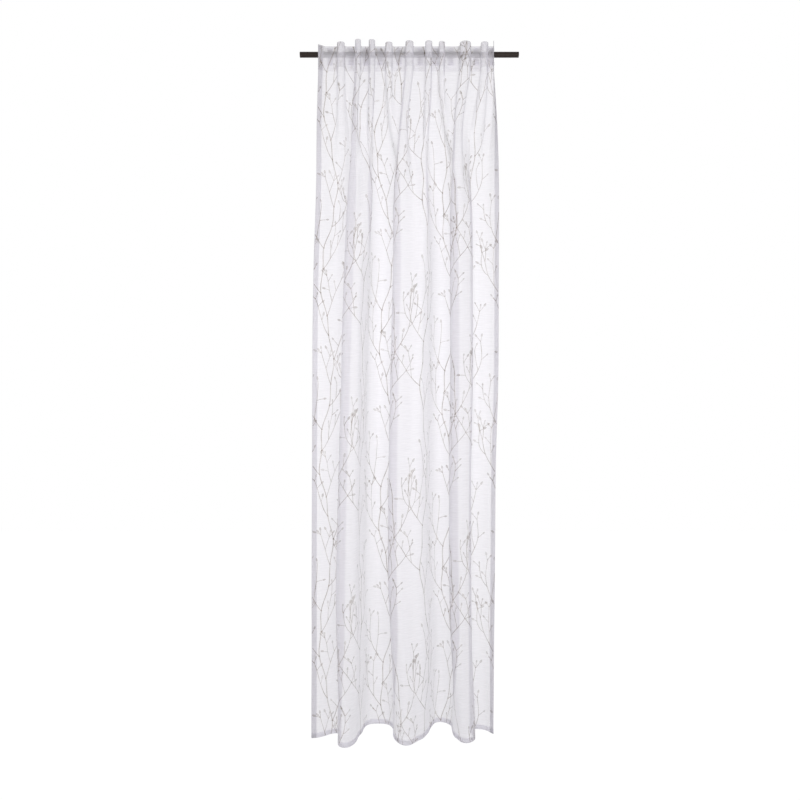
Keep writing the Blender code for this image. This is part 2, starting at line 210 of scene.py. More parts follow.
# Soft pleats and dents, listed one by one: where each stands across the cloth, how far it leans
# to the right on its way down, the drops where it starts and ends, its half width and how
# far it stands out, less than zero for a dent.
CREASES = (
    # across, leans, from, to, half width, depth (mm)
    (78, 10, 110, 900, 13, 2.4),
    (112, -8, 500, 2100, 16, -2.2),
    (262, 12, 140, 1000, 12, -2.2),
    (318, -14, 300, 1500, 15, 2.6),
    (356, 8, 1100, 2380, 14, -2.4),
    (430, -10, 120, 1100, 11, 2.0),
    (476, 14, 700, 2300, 15, -2.6),
    (630, 10, 130, 760, 12, 2.4),
    (668, -16, 380, 1700, 15, -2.6),
    (704, 12, 1300, 2400, 14, 2.4),
    (770, 8, 120, 1250, 13, -2.2),
    (842, -12, 640, 2350, 15, 2.6),
    (1010, 12, 150, 1050, 13, 2.2),
    (1066, -10, 420, 1800, 16, -2.6),
    (1142, 10, 1500, 2400, 13, 2.2),
    (1252, -10, 110, 1300, 13, 2.4),
    (1318, 8, 500, 2200, 15, -2.4),
)
CREASE_ENDS = 0.8  # below 1, a crease keeps its depth nearer to its ends


def stretches():
    """The heading's stretches of cloth as (kind, start, end, hung width), in metres."""
    found = [("left_end", 0.0, LEFT_END, 0.0)]
    at = LEFT_END
    for flat, cloth, width, *_rest in HEADING_LOBES:
        found.append(("flat", at, at + flat * MM, flat * MM))
        at += flat * MM
        found.append(("lobe", at, at + cloth * MM, width * MM))
        at += cloth * MM
    found.append(("flat", at, at + LAST_FLAT, LAST_FLAT))
    at += LAST_FLAT
    found.append(("right_end", at, PANEL_WIDTH, 0.0))
    return found


def loop_centres():
    """Where the loops are sewn, as (x along the rod, metres across the flat panel)."""
    x = FIRST_FLAT_X
    for kind, start, end, width in stretches():
        if kind == "flat":
            yield x + width / 2, (start + end) / 2
        x += width


def smooth_step(value):
    value = np.clip(value, 0.0, 1.0)
    return value * value * (3 - 2 * value)


def lobe_wave(part, nose, flare):
    """How a lobe's cloth turns, forward in its first half and back in its second, where its
    nose and each of its flares at the rod take these shares of its cloth."""
    near = np.minimum(part, 1 - part)
    turn = np.minimum(smooth_step(near / flare), (0.5 - near) / (nose / 2))
    return np.where(part < 0.5, turn, -turn)


def lobe_angles(part, cloth, width, nose):
    """The way a lobe's cloth heads, turned just far enough to draw it in to its hung width."""
    shares = (nose * math.pi / 2 / cloth, (FLARE[0] + FLARE[1] * (width - nose) / 2) / cloth)
    wave = lobe_wave(np.linspace(0, 1, 401), *shares)
    low, high = 0.0, MOST_TURNED
    for _ in range(HALVINGS):
        middle = (low + high) / 2
        if np.cos(middle * wave).mean() > width / cloth:
            low = middle
        else:
            high = middle
    return low * lobe_wave(part, *shares)


def fade(drop, length):
    """1 in the heading, and 0 once the drop below it reaches the length."""
    part = min(max((drop - HEADING_DEPTH) / length, 0.0), 1.0)
    return 1 - smooth_step(part**FADE_START)


def heading_angles(along, drop, shifts):
    """The way the cloth heads because of its heading, at each place along it, when each lobe
    has shifted along the cloth."""
    angles = np.zeros_like(along)
    number = 0
    for kind, start, end, _width in stretches():
        if kind == "lobe":
            _flat, cloth, width, nose, fades, _swings = (v * MM for v in HEADING_LOBES[number])
            part = (along - start - shifts[number]) / cloth
            number += 1
            inside = (part >= 0) & (part < 1)
            angles[inside] += fade(drop, fades) * lobe_angles(part[inside], cloth, width, nose)
        elif kind != "flat":
            heads = LEFT_END_HEADS if kind == "left_end" else RIGHT_END_HEADS
            angles[(along >= start) & (along <= end)] += fade(drop, ENDS_FADE) * heads
    return angles


def run_angles(along, runs):
    """The way the cloth heads in a row of runs, each rounded into the next."""
    lengths, heads = np.array(runs, float).T
    ends = np.cumsum(lengths) / lengths.sum() * PANEL_WIDTH
    run = np.searchsorted(ends, along, side="right").clip(0, len(heads) - 1)
    angles = np.radians(heads)[run]
    half = round(RUN_ROUNDING / (along[1] - along[0]))
    weights = np.hanning(2 * half + 3)[1:-1]
    padded = np.pad(angles, half, mode="edge")
    return np.convolve(padded, weights / weights.sum(), mode="valid")


def middles(values):
    return (values[..., 1:] + values[..., :-1]) / 2


def course(angles, step):
    """Plan coordinates along one row, from the way the cloth heads: to the right, forward."""
    right = np.concatenate([[0.0], np.cumsum(middles(np.cos(angles)) * step)])
    forward = np.concatenate([[0.0], np.cumsum(middles(np.sin(angles)) * step)])
    return right, forward


def drawn_in(turns, most, width, step):
    """The turns of a stretch of cloth, made stronger or weaker until it spans the width."""
    low, high = 0.0, STRONGEST
    for _ in range(HALVINGS):
        middle = (low + high) / 2
        angles = np.clip(middle * turns, -most, most)
        if middles(np.cos(angles)).sum() * step > width:
            low = middle
        else:
            high = middle
    return angles


def nose_near(turns, place):
    """The step along the cloth, nearest the place, where it stops coming forward."""
    noses = np.flatnonzero((turns[:-1] > 0) & (turns[1:] <= 0))
    return noses[np.argmin(np.abs(noses - place))]


def shifted(along, drop, right, top, shifts):
    """The lobes' shifts along the cloth, bettered so that the small lobes hang below their
    places on the rod."""
    lobes = [(start + end) / 2 for kind, start, end, _width in stretches() if kind == "lobe"]
    bettered = []
    for number, (middle, shift) in enumerate(zip(lobes, shifts)):
        fades, swings = (size * MM for size in HEADING_LOBES[number][-2:])
        swung = swings * smooth_step((drop - HEADING_DEPTH) / fades)
        off = np.interp(middle, along, top) + swung - np.interp(middle + shift, along, right)
        if number + 1 not in NOSE_LOBES:
            shift = min(max(shift + off, -LOBE_SHIFT), LOBE_SHIFT)
        bettered.append(shift)
    return bettered


def hung_row(along, drop, heading, main_folds, noses, top):
    """A row below the heading, given how its lobes head: x and y along it, and the steps of
    its main noses, each of which hangs at its own place."""
    step = along[1] - along[0]
    loose = smooth_step((drop - HEADING_DEPTH) / LOOSE_BELOW)
    most = np.maximum(np.abs(heading), STEEPEST[0] + (STEEPEST[1] - STEEPEST[0]) * loose)
    turns = heading + smooth_step((drop - HEADING_DEPTH) / FOLDS_GROW) * main_folds
    noses = [nose_near(turns, nose) for nose in noses]
    marks = [0, *noses, len(along) - 1]
    settled = smooth_step((drop - HEADING_DEPTH) / SETTLES_BELOW)
    drops, *ways = np.array(FOLD_PLACES).T
    hung = [
        top[mark] + (np.interp(drop, drops, way) - top[mark]) * settled
        for mark, way in zip(marks, ways)
    ]
    for first, last, start, end in zip(marks, marks[1:], hung, hung[1:]):
        run = slice(first, last + 1)
        turns[run] = drawn_in(turns[run], most[run], end - start, step)
    right, forward = course(turns, step)
    return right + hung[0], forward, noses


def row_course(along, drop, folds, noses, shifts):
    """One row of the cloth: x and y along it, the steps along it of the main noses and the
    shifts of the lobes. The main folds take up what the lobes let go."""
    drifted = smooth_step((drop - FOLDS_DRIFT[0]) / (FOLDS_DRIFT[1] - FOLDS_DRIFT[0]))
    opened = smooth_step((drop - HEM_OPENS[0]) / (HEM_OPENS[1] - HEM_OPENS[0]))
    main_folds = folds[0] + (folds[1] - folds[0]) * drifted
    main_folds = main_folds + (folds[2] - main_folds) * opened
    heading = heading_angles(along, 0.0, [0.0] * len(HEADING_LOBES))
    right, forward = course(heading, along[1] - along[0])
    right += FIRST_FLAT_X - np.interp(LEFT_END, along, right)
    if drop > HEADING_DEPTH:
        top = right
        for _ in range(SHIFT_TRIES):
            heading = heading_angles(along, drop, shifts)
            right, forward, noses = hung_row(along, drop, heading, main_folds, noses, top)
            shifts = shifted(along, drop, right, top, shifts)
    loose = smooth_step((drop - HEADING_DEPTH) / LOOSE_BELOW)
    held = -(ROD_DIAMETER / 2 + CLOTH_TO_ROD + HEM_THICK / 2)
    flats = [(start + end) / 2 for kind, start, end, _width in stretches() if kind == "flat"]
    drift = np.polynomial.Polynomial.fit(flats, np.interp(flats, along, forward), DRIFT_ORDER)
    at_rod = -forward + drift(along) + held
    hanging = -forward + forward.mean() + MEAN_DEPTH
    return right, (1 - loose) * at_rod + loose * hanging, noses, shifts


def cloth_surface():
    """Fine grids of the cloth's points over its drop and width, and their two scales."""
    along = np.linspace(0, PANEL_WIDTH, FINE_STEPS + 1)
    drops = np.linspace(0, PANEL_DROP, FINE_ROWS + 1)
    folds = [run_angles(along, runs) for runs in (UPPER_RUNS, LOWER_RUNS, HEM_RUNS)]
    lobes = [(start + end) / 2 for kind, start, end, _width in stretches() if kind == "lobe"]
    noses = [lobes[number - 1] / PANEL_WIDTH * FINE_STEPS for number in NOSE_LOBES]
    shifts = [0.0] * len(HEADING_LOBES)
    x = np.empty((len(drops), len(along)))
    y = np.empty_like(x)
    for row, drop in enumerate(drops):
        x[row], y[row], noses, shifts = row_course(along, drop, folds, noses, shifts)
    top = int(np.searchsorted(drops, HEADING_DEPTH))
    for _ in range(SMOOTHING):
        for grid in (x[top:], y[top:]):
            grid[1:-1] = (grid[:-2] + 2 * grid[1:-1] + grid[2:]) / 4
    step = drops[1] - drops[0]
    sideways = (np.diff(x, axis=0) ** 2 + np.diff(y, axis=0) ** 2) / step**2
    falls = np.sqrt(np.clip(1 - sideways, LEAST_FALL, 1.0)) * step
    fallen = np.vstack([np.zeros_like(along), np.cumsum(falls, axis=0)])
    fallen *= (fallen[-1].mean() / fallen[-1]) ** LEVELLED
    return along, drops, np.stack((x, y, TOP_ABOVE_ROD_AXIS - fallen), axis=-1)


def facing(points):
    """The way the cloth's printed side faces at each point of a grid."""
    front = np.cross(np.gradient(points, axis=0), np.gradient(points, axis=1))
    return front / np.linalg.norm(front, axis=-1, keepdims=True)


def standing_out(across, down):
    """How far the small ripples and creases move the cloth forward, in metres."""
    first, last = RIPPLES_FROM
    moved = np.zeros_like(across)
    for wide, tall, depth, start, lower in RIPPLES:
        waves = down / (tall * MM)
        sway = RIPPLE_SWAY * np.sin(2 * math.pi * (waves * RIPPLE_SWAYS + start))
        wave = np.sin(2 * math.pi * (across / (wide * MM) + start) + sway)
        strength = 1 - RIPPLE_FADES + RIPPLE_FADES * np.cos(2 * math.pi * (waves + lower))
        moved += depth * MM * wave * strength
    moved *= smooth_step((down - first) / (last - first))
    for place, leans, start, end, half, depth in CREASES:
        part = (down / MM - start) / (end - start)
        off = across / MM - place - leans * part
        length = np.sin(math.pi * np.clip(part, 0, 1)) ** CREASE_ENDS
        moved += depth * MM * length * np.exp(-((off / half) ** 2))
    return moved


@functools.lru_cache(maxsize=1)
def hung_cloth():
    """The fine grids of the hung cloth's points and of the ways its front faces there."""
    along, drops, points = cloth_surface()
    across, down = np.meshgrid(along, drops)
    points = points + standing_out(across, down)[..., None] * facing(points)
    return points, facing(points)


def on_cloth(across, down, lift=0.0):
    """Points of the hung cloth, a lift in front of it. Past an edge they lie on the layer
    that is turned to the back."""
    make = bpy.context.scene.voile_sizes
    behind, side = 0.0, 1.0
    flat = []
    for place, size, gap in (
        (across, PANEL_WIDTH, make.side_gap),
        (down, PANEL_DROP, make.turned_gap),
    ):
        past = np.maximum(-place, place - size)
        turned = np.clip(past / make.turn + 0.5, 0, 1)
        behind = behind + gap * turned
        side = side * (1 - 2 * turned)
        flat.append(np.where(place > size, 2 * size - place, np.abs(place)))
    column = np.clip(flat[0] / PANEL_WIDTH * FINE_STEPS, 0, FINE_STEPS - 1e-6)
    row = np.clip(flat[1] / PANEL_DROP * FINE_ROWS, 0, FINE_ROWS - 1e-6)
    c, r = column.astype(int), row.astype(int)
    right, lower = (column - c)[..., None], (row - r)[..., None]
    read = []
    for grid in hung_cloth():
        above = grid[r, c] * (1 - right) + grid[r, c + 1] * right
        below = grid[r + 1, c] * (1 - right) + grid[r + 1, c + 1] * right
        read.append(above * (1 - lower) + below * lower)
    return read[0] + read[1] * (side * lift - behind)[..., None]


# ---------------------------------------------------------------- helpers


def linear(code):
    """A six-figure sRGB hex colour as linear red, green and blue."""
    parts = [int(code.lstrip("#")[n : n + 2], 16) / 255 for n in (0, 2, 4)]
    return [p / 12.92 if p <= 0.04045 else ((p + 0.055) / 1.055) ** 2.4 for p in parts]


def add_node(tree, kind, inputs=(), **settings):
    """Adds a node, sets it, and fills its inputs with numbers or with other nodes' outputs."""
    node = tree.nodes.new(kind)
    for name, value in settings.items():
        setattr(node, name, value)
    for name, value in dict(inputs).items():
        if isinstance(value, bpy.types.NodeSocket):
            tree.links.new(value, node.inputs[name])
        else:
            node.inputs[name].default_value = value
    return node


def new_material(name):
    material = bpy.data.materials.new(name)
    material.use_nodes = True
    material.node_tree.nodes.clear()
    return material, material.node_tree


def mesh_piece(name, points, faces, material, flat=None):
    """A piece from points and faces, with its flat places as its UV map where they are given."""
    mesh = bpy.data.meshes.new(name)
    mesh.from_pydata(np.asarray(points).reshape(-1, 3).tolist(), [], faces)
    mesh.update()
    mesh.shade_smooth()
    if flat is not None:
        corners = np.empty(len(mesh.loops), np.int32)
        mesh.loops.foreach_get("vertex_index", corners)
        layer = mesh.uv_layers.new(name="cloth_metres")
        layer.data.foreach_set("uv", np.asarray(flat, np.float32)[corners].ravel())
    mesh.materials.append(material)
    piece = bpy.data.objects.new(name, mesh)
    bpy.context.scene.collection.objects.link(piece)
    return piece


def places(*marks):
    """Places that stand on every mark and evenly between them; each mark is (place, spacing
    after it)."""
    found = [marks[0][0]]
    for (start, spacing), (end, _spacing) in zip(marks, marks[1:]):
        count = max(1, round((end - start) / spacing))
        found += [start + (end - start) * (n + 1) / count for n in range(count)]
    return np.array(found)


def grid_faces(rows, columns, first=0):
    """Faces of a grid of points, outwards where its rows run down and its columns right."""
    return [
        (a, a + columns, a + columns + 1, a + 1)
        for a in (first + r * columns + c for r in range(rows - 1) for c in range(columns - 1))
    ]


def deselect():
    if bpy.context.mode != "OBJECT":
        bpy.ops.object.mode_set(mode="OBJECT")
    bpy.ops.object.select_all(action="DESELECT")


# ---------------------------------------------------------------- sizes and colours


def metres(name, description, default):
    """A length in metres, shown to a hundredth of a millimetre."""
    return FloatProperty(
        name=name, description=description, default=default, precision=5, unit="LENGTH"
    )


def tone(name, description, code):
    """A colour given by its hex code."""
    return FloatVectorProperty(
        name=name, description=description, default=linear(code), subtype="COLOR", min=0, max=1
    )


class VoileSizes(bpy.types.PropertyGroup):
    """The cloth and its sewing."""

    side_hem: metres("Side hem", "Width turned to the back at each side", 0.018)
    bottom_hem: metres("Bottom hem", "Depth turned up at the bottom", 0.017)
    side_gap: metres("Side hem gap", "Between the cloth and a side hem's turned layer", 0.0006)
    turned_gap: metres("Heading gap", "Between the cloth and its layer turned at top or bottom", 0.0010)
    turn: metres("Turn", "Cloth in the round of a folded edge", 0.0016)
    columns: metres("Column spacing", "Between the columns of the cloth's mesh", 0.0031)
    stitch_pitch: metres("Stitch pitch", "From one stitch to the next", 0.0032)
    stitch_length: metres("Stitch length", "Thread that shows in one stitch", 0.0025)
    thread: metres("Thread", "Thickness of the sewing thread", 0.0005)
    colour: tone("Voile", "Colour of the yarn", "#f6f5f9")
    tape_thick: metres("Loop thickness", "Thickness of the loops' cloth", 0.0006)


class PrintSizes(bpy.types.PropertyGroup):
    """The printed twigs."""

    repeat_width: metres("Repeat width", "Width of one repeat of the design", 0.46)
    repeat_height: metres("Repeat height", "Height of one repeat of the design", 0.64)
    stem: metres("Stem", "Width of a main stem at its foot", 0.0034)
    bud_length: metres("Bud length", "Length of a usual bud", 0.0125)
    bud_width: metres("Bud width", "Width of a usual bud", 0.0072)
    step: metres("Step", "Length of one face of a twig", 0.004)
    lift: metres("Lift", "How far the print stands in front of the cloth", 0.00035)
    colour: tone("Stem ink", "Colour of the stems", "#aba092")
    bud_colour: tone("Bud ink", "Colour of the buds", "#b5ada2")


class RodSizes(bpy.types.PropertyGroup):
    """The rod."""

    diameter: metres("Diameter", "Outside diameter of the tube", ROD_DIAMETER)
    length: metres("Length", "Length of the tube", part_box("rod")[1][0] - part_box("rod")[0][0])
    wall: metres("Wall", "Thickness of the tube", 0.001)
    recess: metres("Recess", "How deep the end plug sits", 0.003)
    rim: metres("Rim", "Rounding of the cut ends", 0.0003)
    colour: tone("Paint", "Colour of the powder coat", "#2a221c")


class StageSizes(bpy.types.PropertyGroup):
    """The studio."""

    floor_gap: metres("Floor gap", "From the lowest hem to the floor", 0.05)
    floor_side: metres("Floor", "Side of the floor", 9.0)
    lens: FloatProperty(
        name="Lens", description="Focal length on a 36 mm wide frame", default=35.0, unit="CAMERA"
    )
    key: FloatProperty(name="Key light", description="From the front", default=31.0, unit="POWER")
    back: FloatProperty(name="Back light", description="From behind", default=9.0, unit="POWER")


# ---------------------------------------------------------------- materials


def maths(tree, operation, *values, **settings):
    """The result of one step of arithmetic on numbers or on other nodes' outputs."""
    inputs = dict(enumerate(values))
    return add_node(tree, "ShaderNodeMath", inputs, operation=operation, **settings).outputs[0]


def noise(tree, place, size, detail=2.0, roughness=0.5):
    """Soft noise between 0 and 1, with spots about as far apart as the size."""
    inputs = {"Vector": place, "Scale": 1 / size, "Detail": detail, "Roughness": roughness}
    return add_node(tree, "ShaderNodeTexNoise", inputs).outputs["Fac"]


def stretched(tree, place, across, down):
    """Places counted in spots that are so far apart across the cloth and down it."""
    inputs = {"Vector": place, "Scale": (1 / across, 1 / down, 1)}
    return add_node(tree, "ShaderNodeMapping", inputs).outputs["Vector"]


def tinted(tree, value, first, second, marks=(0.0, 1.0)):
    """A colour that goes from the first to the second while the value goes from mark to mark."""
    node = add_node(tree, "ShaderNodeValToRGB", {"Fac": value})
    for element, mark, colour in zip(node.color_ramp.elements, marks, (first, second)):
        element.position = mark
        element.color = (*colour, 1)
    return node.outputs["Color"]


def mixed(tree, share, first, second):
    """The first shader with this share of the second."""
    return add_node(tree, "ShaderNodeMixShader", {0: share, 1: first, 2: second}).outputs["Shader"]


def shown(tree, surface, cover=None):
    """Puts the surface out, and where it covers less than 1, what lies behind it too."""
    if cover is not None:
        holes = add_node(tree, "ShaderNodeBsdfTransparent", {"Color": (1, 1, 1, 1)})
        surface = mixed(tree, cover, holes.outputs["BSDF"], surface)
    add_node(tree, "ShaderNodeOutputMaterial", {"Surface": surface})


def voile_polyester_woven(name, see_through, slub_depth, hems=(0, 0), hem_cover_and_shade=0, heading_holes=0):
    """Plain-weave polyester voile: half open, so the eye sees through it, soft and matt, with
    slubs that run across it as faint streaks, denser and whiter than the cloth round them."""
    material, tree = new_material(name)
    cloth = add_node(tree, "ShaderNodeUVMap", uv_map="cloth_metres").outputs["UV"]
    flat = add_node(tree, "ShaderNodeSeparateXYZ", {"Vector": cloth}).outputs
    # Slub yarns are 0.5 mm thick and 20 to 60 mm long; they are drawn 2.6 mm thick to show.
    slubs = noise(tree, stretched(tree, cloth, 0.042, 0.0026), 1.0, 2.0, 0.6)
    # Warp yarns are 0.3 mm apart; they are drawn 3 mm apart as a faint upright grain.
    warp = noise(tree, stretched(tree, cloth, 0.0030, 0.110), 1.0, 1.0)
    # Each bolt is a little uneven, in soft patches about 150 mm wide.
    patches = noise(tree, cloth, 0.15, 1.0)
    # In the side hems and the bottom hem the raw edge is turned in once more, a third layer
    # that shows only as denser cloth. Down the sides the colour is also tinted grey: painted shade for
    # the light that the hem's layers hold back.
    between_sides = maths(tree, "COMPARE", flat["X"], PANEL_WIDTH / 2, PANEL_WIDTH / 2 - hems[0])
    above_hem = maths(tree, "LESS_THAN", flat["Y"], PANEL_DROP - hems[1])
    single = maths(tree, "MULTIPLY", between_sides, above_hem)
    # How strongly the painted grey shade is mixed in: only in the side hems.
    side_hem_shade = maths(tree, "MULTIPLY_ADD", between_sides, -hem_cover_and_shade, hem_cover_and_shade)
    # The heading's two layers lie thread on thread, so their holes fall partly in line.
    in_heading = maths(tree, "COMPARE", flat["Y"], 0.0, HEADING_DEPTH)
    cover = 1 - see_through - 1.4 * slub_depth + hem_cover_and_shade
    for share, weight in (
        (slubs, 2 * slub_depth),
        (single, -hem_cover_and_shade),
        (in_heading, -heading_holes),
        (warp, 0.5 * slub_depth),
        (patches, 0.3 * slub_depth),
    ):
        cover = maths(tree, "MULTIPLY_ADD", share, weight, cover, use_clamp=True)
    base = bpy.context.scene.voile_sizes.colour
    tint = tinted(tree, slubs, [c * 0.93 for c in base], base, (0.30, 0.65))
    # Painted shade: the cloth's colour is mixed towards grey in the side hems, standing for the light
    # their extra layers hold back.
    tint_with_hem_shade = add_node(
        tree,
        "ShaderNodeMix",
        {"Factor": side_hem_shade, 6: tint, 7: (0.38, 0.38, 0.39, 1)},
        data_type="RGBA",
    ).outputs[2]
    weave = add_node(
        tree, "ShaderNodeBump", {"Height": slubs, "Strength": 0.12, "Distance": 0.0006}
    ).outputs["Normal"]
    lit = add_node(
        tree,
        "ShaderNodeBsdfPrincipled",
        {
            "Base Color": tint_with_hem_shade,
            "Roughness": 0.82,
            "Specular IOR Level": 0.25,
            "IOR": 1.54,
            "Sheen Weight": 0.08,
            "Sheen Roughness": 0.5,
            "Normal": weave,
        },
    ).outputs["BSDF"]
    through = add_node(tree, "ShaderNodeBsdfTranslucent", {"Color": tint_with_hem_shade, "Normal": weave})
    shown(tree, mixed(tree, 0.54, lit, through.outputs["BSDF"]), cover)
    return material


def pigment_print(name, base, least):
    """Water-based pigment screened on the voile: thin, matt and slightly broken where the
    weave's holes let it through, so a stem is never quite solid."""
    material, tree = new_material(name)
    place = add_node(tree, "ShaderNodeTexCoord").outputs["Object"]
    # The weave breaks the ink every 0.3 mm; the breaks are drawn 2 mm apart to show.
    speckle = noise(tree, place, 0.002)
    # The screen lays more ink in some places than in others, over about 40 mm.
    flow = noise(tree, place, 0.040, 1.0)
    ink = maths(tree, "MULTIPLY_ADD", speckle, 0.24, least - 0.12)
    cover = maths(tree, "MULTIPLY_ADD", flow, 0.50, ink, use_clamp=True)
    paler = [min(1.0, c * 1.12) for c in base]
    tint = tinted(tree, flow, paler, [c * 0.82 for c in base], (0.3, 0.7))
    lit = add_node(
        tree,
        "ShaderNodeBsdfPrincipled",
        {"Base Color": tint, "Roughness": 0.9, "Specular IOR Level": 0.2, "IOR": 1.5},
    ).outputs["BSDF"]
    through = add_node(tree, "ShaderNodeBsdfTranslucent", {"Color": tint}).outputs["BSDF"]
    shown(tree, mixed(tree, 0.30, lit, through), cover)
    return material


def sewing_thread():
    """Spun polyester sewing thread: white, twisted and slightly glossy, so each stitch
    catches a small light."""
    material, tree = new_material("sewing_thread_polyester")
    place = add_node(tree, "ShaderNodeTexCoord").outputs["Object"]
    # The thread's twist is 0.4 mm long.
    tint = tinted(tree, noise(tree, place, 0.0004), linear("#dcdbdf"), linear("#f4f3f6"))
    lit = add_node(
        tree,
        "ShaderNodeBsdfPrincipled",
        {"Base Color": tint, "Roughness": 0.55, "Sheen Weight": 0.2},
    )
    shown(tree, lit.outputs["BSDF"])
    return material


def powder_coated_steel():
    """Steel tube, powder coated black and baked: satin, with the faint orange-peel of the
    melted powder, greyer where it catches the light."""
    material, tree = new_material("powder_coated_steel_satin")
    place = add_node(tree, "ShaderNodeTexCoord").outputs["Object"]
    # Orange peel in baked powder is about 1.5 mm from crest to crest.
    peel = noise(tree, place, 0.0015, 1.0)
    # Handling leaves parts of the coat a little smoother than others, over about 60 mm.
    worn = noise(tree, place, 0.060, 3.0)
    gloss = add_node(tree, "ShaderNodeMapRange", {"Value": worn, 1: 0.3, 2: 0.7, 3: 0.32, 4: 0.46})
    base = bpy.context.scene.rod_sizes.colour
    bump = add_node(
        tree, "ShaderNodeBump", {"Height": peel, "Strength": 0.25, "Distance": 0.0001}
    )
    lit = add_node(
        tree,
        "ShaderNodeBsdfPrincipled",
        {
            "Base Color": tinted(tree, worn, [c * 0.85 for c in base], [c * 1.25 for c in base]),
            "Roughness": gloss.outputs["Result"],
            "Specular IOR Level": 0.3,
            "Normal": bump.outputs["Normal"],
            "IOR": 1.5,
        },
    )
    shown(tree, lit.outputs["BSDF"])
    return material


# ---------------------------------------------------------------- the printed design

# The main stems of one repeat, each running on into the next repeat above: where it stands
# across, how far its long wave swings it and where that starts, and how far it zigzags
# between its forks and where that starts.
STEMS = (
    # across (mm), long wave (mm), starts, zigzag (mm), starts, seed
    (52, 24, 0.05, 4.6, 0.30, 12),
    (204, 28, 0.55, 4.2, 0.80, 25),
    (352, 22, 0.30, 4.8, 0.10, 38),
)
ZIGZAGS = 4  # in one repeat, with a fork at each turn
BRANCH_SHARE = 0.85  # of the forks that carry a branch; the rest are bare knots
COLUMN_SHIFTS = (0.0, 0.21, 0.43)  # how far down each column of repeats stands
STEM, BUD = 0, 1  # material slots
BUD_SIDES = 8
LEVELS = 8  # that twigs lie at, so that crossing ones never share a plane
LEVEL_LIFT = 0.01 * MM
UNPRINTED = 1 * MM  # along the raw edges of the turned cloth

# How the twigs grow: the least and the most of what is drawn anew for each one.
FORK_STRAYS = (-0.012, 0.012)  # of the repeat's height, from the zigzag's turn
BRANCH_OUT = (32, 58)  # degrees from its stem
TWIG_OUT = (28, 52)  # degrees from its branch
BRANCH_LENGTH = (0.090, 0.235)
TWIG_SHARE = (0.55, 0.9)  # of the branch's length beyond its fork
STALK_LENGTH = (0.010, 0.030)
STALK_TURN = (-30, 30)  # degrees
BRANCH_RISE = (-6, 20)  # degrees past upright by its tip
KINK = (6, 13)  # degrees away from a twig
FIRST_FORK = (0.035, 0.065)
NEXT_FORK = (0.032, 0.062)
BARE_TIP = 0.016  # the least of a branch beyond its last fork
FORKS_SWAP = 0.8  # how often the next twig is on the other side
TWIG_FORKS = (0.045, 0.62)  # the least left of a branch for a forking twig, and how often
TIP_BUDS = (1, 2, 3)
TIP_SPREAD = 34  # degrees between the stalks at a tip
BUD_SCALES = (0.75, 1.25)
BRANCH_WIDTHS = (0.86, 0.68)  # shares of the stem's: a branch's, and a twig's with forks
TIP_WIDTH = 0.55
STALK_WIDTHS = (0.60, 0.50)
KNOT = (1.9, 1.45)  # length and width, in widths of the stem
KNOT_DROP = 2 * MM
KINK_ROUNDING = 0.010  # cloth over which a twig kinks at a fork


